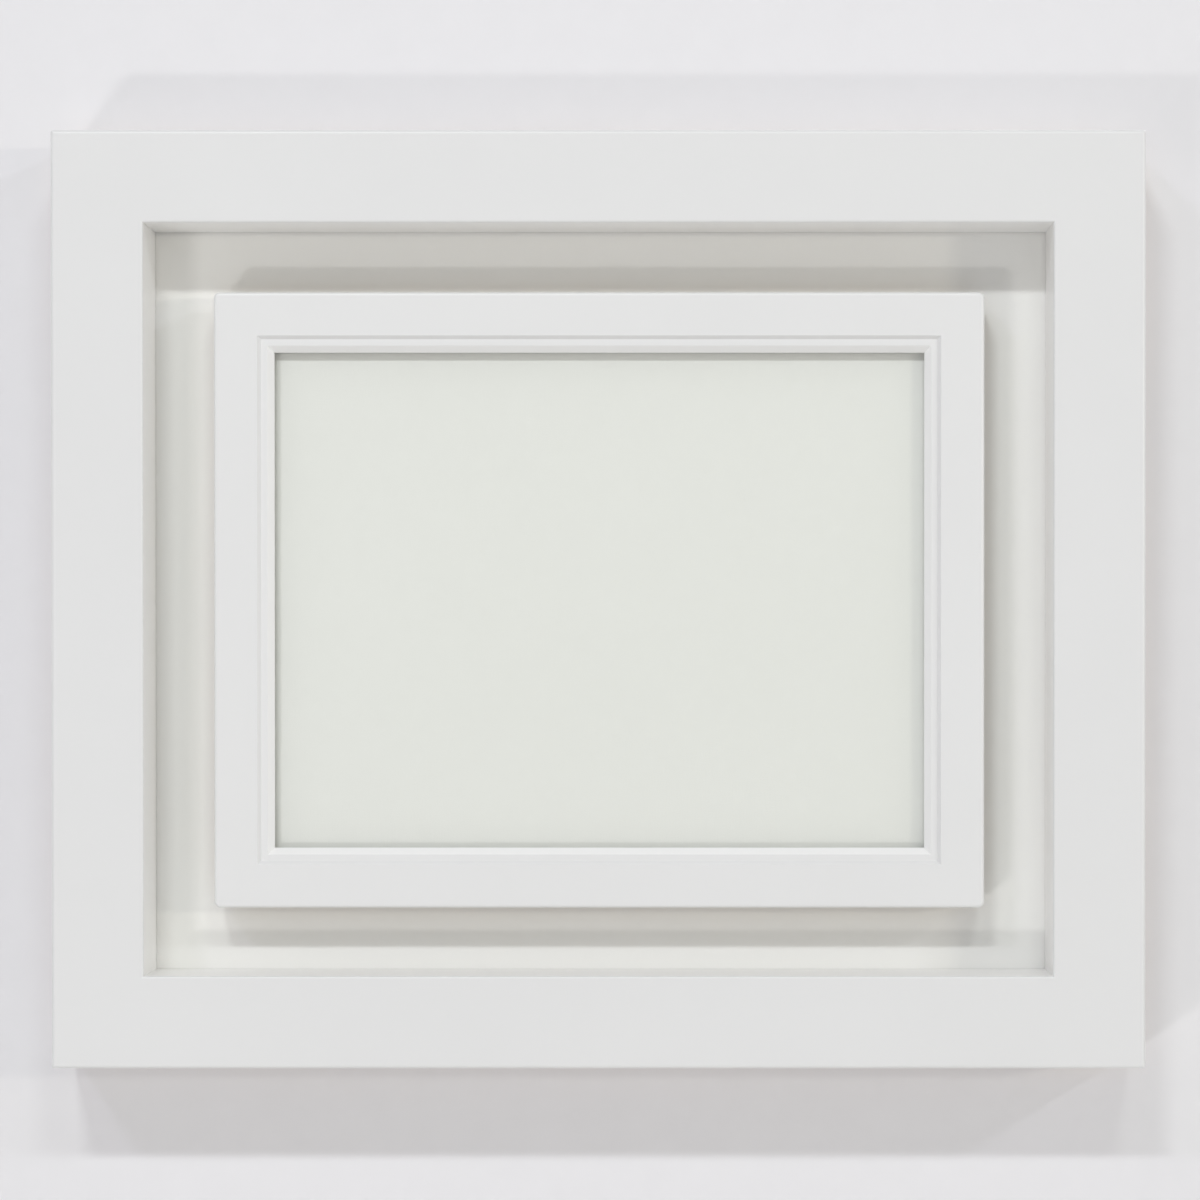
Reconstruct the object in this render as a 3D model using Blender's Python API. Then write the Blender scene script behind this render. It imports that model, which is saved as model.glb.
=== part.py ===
"""Shadow box: a deep lacquered wood frame with a smaller lacquered frame held inside it on hidden battens.

X runs to the right, the front faces -Y and +Z is up. The origin is the centre of the frame's bottom face.
Each side of a frame is made flat in its own space: X along the side, Y from the front to the back, and
Z inwards from the outer edge. An empty at the middle of that side's outer edge puts it in its place.
"""

import math

import bmesh
import bpy

# Driving dimensions, in metres. GAP is the space kept between two pieces that rest on each other.
GAP = 0.0003

# Outer frame
FRAME_WIDTH = 0.3556
FRAME_HEIGHT = 0.3048
FACE_WIDTH = 0.030
RECESS_DEPTH = 0.030
REBATE_WIDTH = 0.005
OUTER_EDGE_ROUND = 0.0012
SIGHT_EDGE_ROUND = 0.0008

# What lies in the back rebate
BOARD_CLEARANCE = 0.0004
DISPLAY_BOARD_THICKNESS = 0.003
BACKBOARD_THICKNESS = 0.0044

# Inner frame: a flat face, then a step down to a ledge, then a bevel down to the sight edge
CHANNEL_WIDTH = 0.0216
FLAT_WIDTH = 0.0142
STEP_RUN = 0.0011
LEDGE_WIDTH = 0.0021
BEVEL_WIDTH = 0.0021
STEP_DROP = 0.0014
BEVEL_DROP = 0.0024
SIGHT_FACE = 0.0009
INNER_REBATE_WIDTH = 0.0045
INNER_EDGE_ROUND = 0.0012
INNER_CORNER_ROUND = 0.0020
GLASS_THICKNESS = 0.002
INSERT_THICKNESS = 0.003

# Points that hold the insert
POINT_WIDTH = 0.008
POINT_LENGTH = 0.013
POINT_BITE = 0.006
POINT_TIP = 0.003
POINT_THICKNESS = 0.0006
POINT_COVER = 0.0008

# Risers and the screws through them
RISER_HEIGHT = 0.0066
RISER_INSET = 0.005
RISER_WIDTH = 0.008
MOUNTING_SCREW_FROM_CORNER = 0.040
MOUNTING_SCREW_BITE = 0.0045
MOUNTING_SHANK_RADIUS = 0.0014
MOUNTING_HEAD_RADIUS = 0.0030
MOUNTING_HEAD_HEIGHT = 0.0017

# V-nails, which lie across the mitres
NAIL_LEG = 0.0070
NAIL_DEPTH = 0.0080
NAIL_THICKNESS = 0.0008
INNER_NAIL_LEG = 0.0050
INNER_NAIL_DEPTH = 0.0050

# Turn buttons
BUTTON_FROM_CORNER = 0.100
BUTTON_PIVOT_INSET = 0.0085
BUTTON_REACH = 0.0135
BUTTON_EYE_RADIUS = 0.0046
BUTTON_TIP_RADIUS = 0.0030
BUTTON_THICKNESS = 0.0012

# Pan-head screws
SCREW_SHANK_RADIUS = 0.0014
SCREW_HEAD_RADIUS = 0.0031
SCREW_HEAD_HEIGHT = 0.0019
SCREW_BITE = 0.0110

# Strap hangers and their rings
HANGER_FROM_TOP = 0.080
STRAP_WIDTH = 0.010
STRAP_THICKNESS = 0.001
STRAP_SCREW_DROP = 0.0205
STRAP_TAIL = 0.0055
STRAP_CORNER_ROUND = 0.0025
STRAP_ROLL_TURN = 290.0
RING_WIRE_RADIUS = 0.001
RING_HALF_WIDTH = 0.0075
RING_CORNER_RADIUS = 0.0022
RING_LEG = 0.0042

# Bumpers
BUMPER_RADIUS = 0.005
BUMPER_HEIGHT = 0.0035
BUMPER_FROM_CORNER = 0.030

# Sizes that follow from those above
INNER_FACE_WIDTH = FLAT_WIDTH + STEP_RUN + LEDGE_WIDTH + BEVEL_WIDTH
INNER_LIP_BACK = STEP_DROP + BEVEL_DROP + SIGHT_FACE
GLASS_FRONT = INNER_LIP_BACK + GAP
INSERT_FRONT = GLASS_FRONT + GLASS_THICKNESS + GAP
POINT_FRONT = INSERT_FRONT + INSERT_THICKNESS + GAP
INNER_THICKNESS = POINT_FRONT + POINT_THICKNESS + POINT_COVER
RISER_FRONT = RECESS_DEPTH - GAP - RISER_HEIGHT
INNER_BACK = RISER_FRONT - GAP
INNER_FRONT = INNER_BACK - INNER_THICKNESS
DISPLAY_BACK = RECESS_DEPTH + DISPLAY_BOARD_THICKNESS
BACKBOARD_FRONT = DISPLAY_BACK + GAP
FRAME_DEPTH = BACKBOARD_FRONT + BACKBOARD_THICKNESS + GAP
FRONT_Y = -FRAME_DEPTH / 2
REBATE_WALL = FACE_WIDTH - REBATE_WIDTH
INNER_REBATE_WALL = INNER_FACE_WIDTH - INNER_REBATE_WIDTH
BOARD_WIDTH = FRAME_WIDTH - 2 * (REBATE_WALL + BOARD_CLEARANCE)
BOARD_HEIGHT = FRAME_HEIGHT - 2 * (REBATE_WALL + BOARD_CLEARANCE)
INNER_WIDTH = FRAME_WIDTH - 2 * (FACE_WIDTH + CHANNEL_WIDTH)
INNER_HEIGHT = FRAME_HEIGHT - 2 * (FACE_WIDTH + CHANNEL_WIDTH)
INSERT_WIDTH = INNER_WIDTH - 2 * (INNER_REBATE_WALL + BOARD_CLEARANCE)
INSERT_HEIGHT = INNER_HEIGHT - 2 * (INNER_REBATE_WALL + BOARD_CLEARANCE)
MITRE_GAP = GAP / math.sqrt(2)
CUT_MARGIN = 0.002

SIDES = {
    "bottom": {"turn": 0, "out": (0, -1)},
    "right": {"turn": -90, "out": (1, 0)},
    "top": {"turn": 180, "out": (0, 1)},
    "left": {"turn": 90, "out": (-1, 0)},
}
CORNERS = {
    "bottom_left": ("left", "bottom", -1, -1),
    "bottom_right": ("right", "bottom", 1, -1),
    "top_right": ("right", "top", 1, 1),
    "top_left": ("left", "top", -1, 1),
}
FINISHES = {
    "white_lacquer": {"colour": (0.80, 0.80, 0.79), "roughness": 0.38, "metallic": 0.0},
    "inner_lacquer": {"colour": (0.79, 0.79, 0.77), "roughness": 0.34, "metallic": 0.0},
    "white_board": {"colour": (0.73, 0.73, 0.70), "roughness": 0.85, "metallic": 0.0},
    "insert_board": {"colour": (0.76, 0.76, 0.71), "roughness": 0.90, "metallic": 0.0},
    "clear_glazing": {"colour": (0.95, 0.97, 0.96), "roughness": 0.05, "metallic": 0.0},
    "brown_fibreboard": {"colour": (0.36, 0.24, 0.14), "roughness": 0.80, "metallic": 0.0},
    "bare_wood": {"colour": (0.66, 0.50, 0.32), "roughness": 0.75, "metallic": 0.0},
    "zinc_steel": {"colour": (0.62, 0.62, 0.60), "roughness": 0.32, "metallic": 1.0},
    "nickel_steel": {"colour": (0.66, 0.64, 0.60), "roughness": 0.25, "metallic": 1.0},
    "grey_rubber": {"colour": (0.30, 0.30, 0.30), "roughness": 0.70, "metallic": 0.0},
}


# Tools that the pieces share


def clear_scene():
    for old in list(bpy.data.objects):
        bpy.data.objects.remove(old, do_unlink=True)


def make_finish(name):
    """A Principled material with the colour, roughness and metallic value of one finish."""
    material = bpy.data.materials.new(name)
    material.use_nodes = True
    shader = material.node_tree.nodes["Principled BSDF"]
    shader.inputs["Base Color"].default_value = (*FINISHES[name]["colour"], 1.0)
    shader.inputs["Roughness"].default_value = FINISHES[name]["roughness"]
    shader.inputs["Metallic"].default_value = FINISHES[name]["metallic"]
    return material


def finish_named(name):
    return bpy.data.materials.get(name) or make_finish(name)


def add_empty(name, place, turn=0.0):
    """An empty at a place, turned about the Y axis by an angle in degrees."""
    empty = bpy.data.objects.new(name, None)
    empty.location = place
    empty.rotation_euler = (0, math.radians(turn), 0)
    bpy.context.collection.objects.link(empty)
    return empty


def add_piece(name, shape, finish, parent=None, place=(0, 0, 0), smooth=None):
    """Makes an object of a bmesh. smooth is the angle in degrees above which an edge stays sharp."""
    bmesh.ops.recalc_face_normals(shape, faces=shape.faces)
    mesh = bpy.data.meshes.new(name)
    shape.to_mesh(mesh)
    shape.free()
    if smooth:
        mesh.shade_smooth()
        mesh.set_sharp_from_angle(angle=math.radians(smooth))
    piece = bpy.data.objects.new(name, mesh)
    piece.location = place
    piece.parent = parent
    piece.data.materials.append(finish_named(finish))
    bpy.context.collection.objects.link(piece)
    return piece


def add_cutter(name, shape, parent=None, place=(0, 0, 0)):
    cutter = add_piece(name, shape, "bare_wood", parent, place)
    cutter.hide_render = True
    cutter.display_type = "WIRE"
    return cutter


def cut(piece, cutter):
    """Takes the cutter's shape out of the piece."""
    modifier = piece.modifiers.new(cutter.name, "BOOLEAN")
    modifier.operation = "DIFFERENCE"
    modifier.solver = "EXACT"
    modifier.object = cutter


def arc(centre, radius, start, end, steps):
    """Points on a circle from one angle to another, in degrees, ends included."""
    angles = [math.radians(start + (end - start) * i / steps) for i in range(steps + 1)]
    return [(centre[0] + radius * math.cos(a), centre[1] + radius * math.sin(a)) for a in angles]


def extruded(outline, direction):
    """A solid made of a flat outline of 3-D points, moved along a direction."""
    shape = bmesh.new()
    face = shape.faces.new([shape.verts.new(point) for point in outline])
    moved = bmesh.ops.extrude_face_region(shape, geom=[face])["geom"]
    verts = [item for item in moved if isinstance(item, bmesh.types.BMVert)]
    bmesh.ops.translate(shape, verts=verts, vec=direction)
    return shape


def block(low, high):
    """A solid box between two corners."""
    outline = [(low[0], low[1], low[2]), (high[0], low[1], low[2])]
    outline += [(high[0], low[1], high[2]), (low[0], low[1], high[2])]
    return extruded(outline, (0, high[1] - low[1], 0))


def turned(profile, sides=16):
    """A solid of revolution about the Y axis. The profile is (radius, height) from one pole to the other."""
    shape = bmesh.new()
    verts = [shape.verts.new((radius, height, 0)) for radius, height in profile]
    edges = [shape.edges.new(pair) for pair in zip(verts[:-1], verts[1:])]
    bmesh.ops.spin(
        shape,
        geom=verts + edges,
        cent=(0, 0, 0),
        axis=(0, 1, 0),
        angle=2 * math.pi,
        steps=sides,
    )
    bmesh.ops.remove_doubles(shape, verts=shape.verts, dist=0.00001)
    return shape


def rod(radius, low, high, sides=16):
    """A plain round bar along Y."""
    return turned([(0, low), (radius, low), (radius, high), (0, high)], sides)


def mitred_rail(length, profile):
    """A rail along X whose ends are mitred. The profile is (inwards, backwards) points."""
    half = length / 2 - MITRE_GAP
    shape = bmesh.new()
    face = shape.faces.new([shape.verts.new((z - half, y, z)) for z, y in profile])
    moved = bmesh.ops.extrude_face_region(shape, geom=[face])["geom"]
    for item in moved:
        if isinstance(item, bmesh.types.BMVert):
            item.co.x = half - item.co.z
    return shape


def side_length(side, width, height):
    return width if side in ("bottom", "top") else height


def side_empties(kind, width, height, front):
    """The four empties of a frame, each at the middle of a side's outer edge, on its front plane."""
    empties = {}
    for side, lie in SIDES.items():
        x = lie["out"][0] * width / 2
        z = FRAME_HEIGHT / 2 + lie["out"][1] * height / 2
        empties[side] = add_empty(f"{kind}_{side}_side", (x, FRONT_Y + front, z), lie["turn"])
    return empties


# The outer frame


def outer_profile():
    """A deep solid rail whose inner side is the recess wall, with a shallow rebate cut in its back."""
    shoulder = RECESS_DEPTH - GAP
    points = [(0, FRAME_DEPTH)]
    points += arc((OUTER_EDGE_ROUND, OUTER_EDGE_ROUND), OUTER_EDGE_ROUND, 180, 270, 3)
    points += arc((FACE_WIDTH - SIGHT_EDGE_ROUND, SIGHT_EDGE_ROUND), SIGHT_EDGE_ROUND, 270, 360, 2)
    points += [(FACE_WIDTH, shoulder), (REBATE_WALL, shoulder), (REBATE_WALL, FRAME_DEPTH)]
    return points


def outer_frame(empties):
    names = {"bottom": "bottom_rail", "right": "right_stile", "top": "top_rail", "left": "left_stile"}
    rails = {}
    for side, empty in empties.items():
        length = side_length(side, FRAME_WIDTH, FRAME_HEIGHT)
        shape = mitred_rail(length, outer_profile())
        rails[side] = add_piece(names[side], shape, "white_lacquer", empty, smooth=35)
    return rails


def nail_shape(leg, thickness, front, back, grow, right, up):
    """A V-nail seen from behind is an L with its corner on the mitre and a leg along each rail."""
    low, far, thick = -thickness / 2 - grow, leg + grow, thickness / 2 + grow
    plan = [(low, low), (far, low), (far, thick), (thick, thick), (thick, far), (low, far)]
    outline = [(-right * x, front - grow, -up * z) for x, z in plan]
    return extruded(outline, (0, back - front + grow, 0))


def v_nails(kind, rails, width, height, body_width, front, leg, depth):
    """One V-nail across each mitre, flush with the back, and the slot that it fills in both rails.

    body_width is the rail's width behind its rebate, and front is the depth of the frame's back face.
    """
    for corner, (upright, level, right, up) in CORNERS.items():
        x = right * (width / 2 - body_width / 2)
        z = FRAME_HEIGHT / 2 + up * (height / 2 - body_width / 2)
        shape = nail_shape(leg, NAIL_THICKNESS, -depth, 0, 0, right, up)
        place = (x, FRONT_Y + front, z)
        add_piece(f"{kind}_{corner}", shape, "zinc_steel", None, place)
        slot = nail_shape(leg, NAIL_THICKNESS, -depth, CUT_MARGIN, GAP, right, up)
        cutter = add_cutter(f"cut_{kind}_{corner}", slot, None, place)
        cut(rails[upright], cutter)
        cut(rails[level], cutter)


# Flat pieces


def board(name, width, height, front, thickness, finish):
    """A flat sheet in the middle of the frame, its front at a depth behind the frame's face."""
    shape = block((-width / 2, 0, -height / 2), (width / 2, thickness, height / 2))
    return add_piece(name, shape, finish, None, (0, FRONT_Y + front, FRAME_HEIGHT / 2))


# The inner frame


def inner_profile():
    """A flat face, a step, a ledge and a bevel in front, and the insert's rebate behind."""
    ledge = FLAT_WIDTH + STEP_RUN
    points = [(0, INNER_THICKNESS)]
    points += arc((INNER_EDGE_ROUND, INNER_EDGE_ROUND), INNER_EDGE_ROUND, 180, 270, 3)
    points += [(FLAT_WIDTH, 0), (ledge, STEP_DROP), (ledge + LEDGE_WIDTH, STEP_DROP)]
    points += [(INNER_FACE_WIDTH, STEP_DROP + BEVEL_DROP), (INNER_FACE_WIDTH, INNER_LIP_BACK)]
    points += [(INNER_REBATE_WALL, INNER_LIP_BACK), (INNER_REBATE_WALL, INNER_THICKNESS)]
    return points


def corner_waste(radius, depth, right, up):
    """What sanding takes off an outer corner to leave it round: a square outside a quarter circle."""
    bend = arc((-radius, -radius), radius, 0, 90, 4)
    plan = [(CUT_MARGIN, -radius)] + bend + [(-radius, CUT_MARGIN), (CUT_MARGIN, CUT_MARGIN)]
    outline = [(right * x, -CUT_MARGIN, up * z) for x, z in plan]
    return extruded(outline, (0, depth + 2 * CUT_MARGIN, 0))


def inner_frame(empties):
    rails = {}
    for side, empty in empties.items():
        name = f"inner_{side}_rail" if side in ("bottom", "top") else f"inner_{side}_stile"
        shape = mitred_rail(side_length(side, INNER_WIDTH, INNER_HEIGHT), inner_profile())
        rails[side] = add_piece(name, shape, "inner_lacquer", empty, smooth=35)
    for corner, (upright, level, right, up) in CORNERS.items():
        waste = corner_waste(INNER_CORNER_ROUND, INNER_THICKNESS, right, up)
        place = (right * INNER_WIDTH / 2, FRONT_Y + INNER_FRONT, FRAME_HEIGHT / 2 + up * INNER_HEIGHT / 2)
        cutter = add_cutter(f"cut_inner_corner_{corner}", waste, None, place)
        cut(rails[upright], cutter)
        cut(rails[level], cutter)
    return rails


def retainer_points(empties, rails):
    """A thin pointed plate at the middle of each side, driven into the rebate's wall behind the insert."""
    start = INNER_REBATE_WALL - POINT_BITE
    half = POINT_WIDTH / 2
    plan = [(0, start), (half, start + POINT_TIP), (half, start + POINT_LENGTH)]
    plan += [(-half, start + POINT_LENGTH), (-half, start + POINT_TIP)]
    for side, empty in empties.items():
        outline = [(x, POINT_FRONT, z) for x, z in plan]
        shape = extruded(outline, (0, POINT_THICKNESS, 0))
        add_piece(f"retainer_point_{side}", shape, "zinc_steel", empty)
        low = (-half - GAP, POINT_FRONT - GAP, start - GAP)
        high = (half + GAP, POINT_FRONT + POINT_THICKNESS + GAP, INNER_REBATE_WALL + CUT_MARGIN)
        cut(rails[side], add_cutter(f"cut_point_{side}", block(low, high), empty))


def risers(empties):
    """Four battens behind the inner frame, set in from its edge so that it seems to float."""
    strips = {}
    for side, empty in empties.items():
        if side in ("bottom", "top"):
            half = INNER_WIDTH / 2 - RISER_INSET
        else:
            half = INNER_HEIGHT / 2 - RISER_INSET - RISER_WIDTH - GAP
        depth = RISER_FRONT - INNER_FRONT
        low = (-half, depth, RISER_INSET)
        high = (half, depth + RISER_HEIGHT, RISER_INSET + RISER_WIDTH)
        strips[side] = add_piece(f"riser_{side}", block(low, high), "bare_wood", empty)
    return strips


def sunk_screw_profile(length, grow):
    """A countersunk screw, its flat head at height 0. grow makes it larger all round, for its hole."""
    shank = MOUNTING_SHANK_RADIUS + grow
    head = MOUNTING_HEAD_RADIUS + grow
    tip = -length - grow
    profile = [(0, tip), (shank, tip + 2 * MOUNTING_SHANK_RADIUS), (shank, -MOUNTING_HEAD_HEIGHT)]
    return profile + [(head, 0)]


def mounting_screws(display_board, strips, rails):
    """Four screws from behind the display board, through the risers and into the inner frame."""
    length = DISPLAY_BACK - INNER_BACK + MOUNTING_SCREW_BITE
    inset = RISER_INSET + RISER_WIDTH / 2
    for corner, (_, level, right, up) in CORNERS.items():
        x = right * (INNER_WIDTH / 2 - MOUNTING_SCREW_FROM_CORNER)
        z = FRAME_HEIGHT / 2 + up * (INNER_HEIGHT / 2 - inset)
        place = (x, FRONT_Y + DISPLAY_BACK, z)
        shape = turned(sunk_screw_profile(length, 0) + [(0, 0)])
        add_piece(f"mounting_screw_{corner}", shape, "zinc_steel", None, place, smooth=35)
        top = [(MOUNTING_HEAD_RADIUS + GAP, CUT_MARGIN), (0, CUT_MARGIN)]
        hole = turned(sunk_screw_profile(length, GAP) + top)
        cutter = add_cutter(f"cut_mounting_screw_{corner}", hole, None, place)
        cut(display_board, cutter)
        cut(strips[level], cutter)
        cut(rails[level], cutter)


# Fastenings on the back


def pan_screw_profile(bite):
    """A pan-head screw, the underside of its head at height 0."""
    rim = 0.4 * SCREW_HEAD_HEIGHT
    dome = arc((0, 0), 1, 0, 90, 3)
    profile = [(0, -bite), (SCREW_SHANK_RADIUS, -bite + 2 * SCREW_SHANK_RADIUS)]
    profile += [(SCREW_SHANK_RADIUS, 0), (SCREW_HEAD_RADIUS, 0)]
    for across, along in dome[:-1]:
        profile.append((SCREW_HEAD_RADIUS * across, rim + (SCREW_HEAD_HEIGHT - rim) * along))
    return profile + [(0, SCREW_HEAD_HEIGHT)]


def pan_screw(name, rail, parent, place, bite_below, held):
    """A screw whose head clamps a piece held to the rail, and the pilot hole under it in the rail.

    bite_below is how far its tip goes below the head, and held is what it passes through.
    """
    shape = turned(pan_screw_profile(bite_below))
    add_piece(name, shape, "zinc_steel", parent, place, smooth=35)
    hole = rod(SCREW_SHANK_RADIUS + GAP, -bite_below - GAP, CUT_MARGIN)
    cutter = add_cutter(f"cut_{name}", hole, parent, place)
    cut(rail, cutter)
    cut(held, cutter)


def button_outline():
    """Seen from behind: a round eye on the pivot that narrows to a round tip over the backboard."""
    tip_at = BUTTON_REACH - BUTTON_TIP_RADIUS
    lean = math.degrees(math.asin((BUTTON_EYE_RADIUS - BUTTON_TIP_RADIUS) / tip_at))
    eye = arc((0, 0), BUTTON_EYE_RADIUS, 180 - lean, 360 + lean, 10)
    return eye + arc((0, tip_at), BUTTON_TIP_RADIUS, lean, 180 - lean, 6)


def turn_buttons(empties, rails):
    """Flat steel buttons that turn on their screws and hold the backboard in."""
    far = FRAME_WIDTH / 2 - BUTTON_FROM_CORNER
    spots = {"bottom_right": ("bottom", far), "bottom_left": ("bottom", -far), "right": ("right", 0)}
    spots.update({"top_right": ("top", -far), "top_left": ("top", far), "left": ("left", 0)})
    for spot, (side, along) in spots.items():
        place = (along, FRAME_DEPTH + GAP, REBATE_WALL - BUTTON_PIVOT_INSET)
        outline = [(x, 0, z) for x, z in button_outline()]
        shape = extruded(outline, (0, BUTTON_THICKNESS, 0))
        button = add_piece(f"turn_button_{spot}", shape, "zinc_steel", empties[side], place, smooth=35)
        head = (along, FRAME_DEPTH + BUTTON_THICKNESS + 2 * GAP, place[2])
        bite = SCREW_BITE + BUTTON_THICKNESS + 2 * GAP
        pan_screw(f"button_screw_{spot}", rails[side], empties[side], head, bite, button)


def strap_outline():
    """Seen from the side, (height, depth) from the ring's axis: a flat tail that rolls round the wire."""
    inner = RING_WIRE_RADIUS + GAP
    outer = inner + STRAP_THICKNESS
    end = STRAP_ROLL_TURN - 90
    tail = -STRAP_SCREW_DROP - STRAP_TAIL
    points = [(tail, -outer)] + arc((0, 0), outer, -90, end, 18)
    return points + arc((0, 0), inner, end, -90, 18) + [(tail, -inner)]


def hanger_strap(name, parent, place):
    outline = [(-STRAP_WIDTH / 2, y, z) for z, y in strap_outline()]
    shape = extruded(outline, (STRAP_WIDTH, 0, 0))
    tail = -STRAP_SCREW_DROP - STRAP_TAIL
    ends = [e for e in shape.edges if e.verts[0].co.z + e.verts[1].co.z < 2 * tail + 0.00001]
    corners = [e for e in ends if abs(e.verts[0].co.x - e.verts[1].co.x) < 0.00001]
    bmesh.ops.bevel(shape, geom=corners, offset=STRAP_CORNER_ROUND, segments=4, affect="EDGES")
    return add_piece(name, shape, "nickel_steel", parent, place, smooth=35)


def ring_path():
    """A D that hangs from its straight bar: the bar, two small bends, two legs and a half circle."""
    bend, half = RING_CORNER_RADIUS, RING_HALF_WIDTH
    points = arc((half - bend, -bend), bend, 90, 0, 4)
    points += arc((0, -bend - RING_LEG), half, 0, -180, 16)
    return points + arc((bend - half, -bend), bend, 180, 90, 4)


def hanger_ring(name, parent, place):
    """A wire ring whose origin is on the axis of its bar."""
    curve = bpy.data.curves.new(name, "CURVE")
    curve.dimensions = "3D"
    curve.bevel_depth = RING_WIRE_RADIUS
    curve.bevel_resolution = 2
    path = ring_path()
    spline = curve.splines.new("POLY")
    spline.points.add(len(path) - 1)
    for point, (x, z) in zip(spline.points, path):
        point.co = (x, 0, z, 1)
    spline.use_cyclic_u = True
    curve.materials.append(finish_named("nickel_steel"))
    ring = bpy.data.objects.new(name, curve)
    ring.location = place
    ring.parent = parent
    bpy.context.collection.objects.link(ring)


def hangers(rails):
    """A strap hanger on the back of each stile, with its ring hanging down from the rolled end."""
    roll = RING_WIRE_RADIUS + GAP + STRAP_THICKNESS
    for side, across in (("left", -1), ("right", 1)):
        x = across * (FRAME_WIDTH / 2 - REBATE_WALL / 2)
        parent = add_empty(f"{side}_hanger", (x, FRONT_Y + FRAME_DEPTH + GAP, FRAME_HEIGHT - HANGER_FROM_TOP))
        strap = hanger_strap(f"hanger_strap_{side}", parent, (0, roll, 0))
        hanger_ring(f"hanger_ring_{side}", parent, (0, roll, 0))
        head = (0, STRAP_THICKNESS + GAP, -STRAP_SCREW_DROP)
        bite = SCREW_BITE + STRAP_THICKNESS + 2 * GAP
        pan_screw(f"hanger_screw_{side}", rails[side], parent, head, bite, strap)


def bumpers():
    """A rubber dot near each bottom corner, which keeps the box off the wall."""
    edge = 0.2 * BUMPER_RADIUS
    profile = [(0, 0), (BUMPER_RADIUS, 0), (BUMPER_RADIUS, BUMPER_HEIGHT - edge)]
    profile += [(BUMPER_RADIUS - edge, BUMPER_HEIGHT), (0, BUMPER_HEIGHT)]
    for side, across in (("left", -1), ("right", 1)):
        x = across * (FRAME_WIDTH / 2 - BUMPER_FROM_CORNER)
        place = (x, FRONT_Y + FRAME_DEPTH + GAP, REBATE_WALL / 2)
        add_piece(f"bumper_{side}", turned(profile, 20), "grey_rubber", None, place, smooth=35)


def build_shadow_box():
    outer = side_empties("outer", FRAME_WIDTH, FRAME_HEIGHT, 0)
    inner = side_empties("inner", INNER_WIDTH, INNER_HEIGHT, INNER_FRONT)
    rails = outer_frame(outer)
    v_nails("corner_nail", rails, FRAME_WIDTH, FRAME_HEIGHT, REBATE_WALL, FRAME_DEPTH, NAIL_LEG, NAIL_DEPTH)
    display_board = board(
        "display_board", BOARD_WIDTH, BOARD_HEIGHT, RECESS_DEPTH, DISPLAY_BOARD_THICKNESS, "white_board"
    )
    board("backboard", BOARD_WIDTH, BOARD_HEIGHT, BACKBOARD_FRONT, BACKBOARD_THICKNESS, "brown_fibreboard")
    inner_rails = inner_frame(inner)
    v_nails(
        "inner_nail",
        inner_rails,
        INNER_WIDTH,
        INNER_HEIGHT,
        INNER_REBATE_WALL,
        INNER_BACK,
        INNER_NAIL_LEG,
        INNER_NAIL_DEPTH,
    )
    glass_at = INNER_FRONT + GLASS_FRONT
    insert_at = INNER_FRONT + INSERT_FRONT
    board("glazing_pane", INSERT_WIDTH, INSERT_HEIGHT, glass_at, GLASS_THICKNESS, "clear_glazing")
    board("insert_panel", INSERT_WIDTH, INSERT_HEIGHT, insert_at, INSERT_THICKNESS, "insert_board")
    retainer_points(inner, inner_rails)
    mounting_screws(display_board, risers(inner), inner_rails)
    turn_buttons(outer, rails)
    hangers(rails)
    bumpers()


clear_scene()
build_shadow_box()
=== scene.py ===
"""Shadow box: a deep white lacquered frame, and a smaller frame that floats on battens inside it.

The sections follow the object as it is put together: outer frame, inner frame and what it holds,
battens, boards, and the fastenings on the back. The wall, the floor, the lights and the camera come last.
"""

import math

import bmesh
import bpy
import numpy as np
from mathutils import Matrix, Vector


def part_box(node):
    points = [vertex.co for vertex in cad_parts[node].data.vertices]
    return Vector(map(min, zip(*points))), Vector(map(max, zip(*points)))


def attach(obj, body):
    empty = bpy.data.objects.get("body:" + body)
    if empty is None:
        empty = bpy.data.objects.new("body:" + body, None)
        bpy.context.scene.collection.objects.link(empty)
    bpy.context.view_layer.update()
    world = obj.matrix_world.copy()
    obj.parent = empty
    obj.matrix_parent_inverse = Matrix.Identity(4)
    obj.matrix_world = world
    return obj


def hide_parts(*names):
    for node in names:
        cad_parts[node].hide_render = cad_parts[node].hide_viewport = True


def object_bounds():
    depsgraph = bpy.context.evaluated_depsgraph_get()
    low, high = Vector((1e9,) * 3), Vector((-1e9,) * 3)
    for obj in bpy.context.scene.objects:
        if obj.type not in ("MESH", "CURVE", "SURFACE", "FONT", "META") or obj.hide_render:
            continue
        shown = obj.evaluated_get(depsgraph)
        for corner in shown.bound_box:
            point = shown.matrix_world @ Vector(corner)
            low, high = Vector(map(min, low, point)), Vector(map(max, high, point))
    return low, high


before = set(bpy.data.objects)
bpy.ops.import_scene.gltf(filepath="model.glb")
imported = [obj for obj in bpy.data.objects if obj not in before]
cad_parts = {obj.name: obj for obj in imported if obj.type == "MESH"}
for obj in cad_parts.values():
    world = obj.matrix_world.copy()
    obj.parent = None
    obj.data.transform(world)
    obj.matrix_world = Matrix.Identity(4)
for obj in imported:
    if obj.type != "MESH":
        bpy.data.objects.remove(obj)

cad_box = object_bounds()


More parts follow.
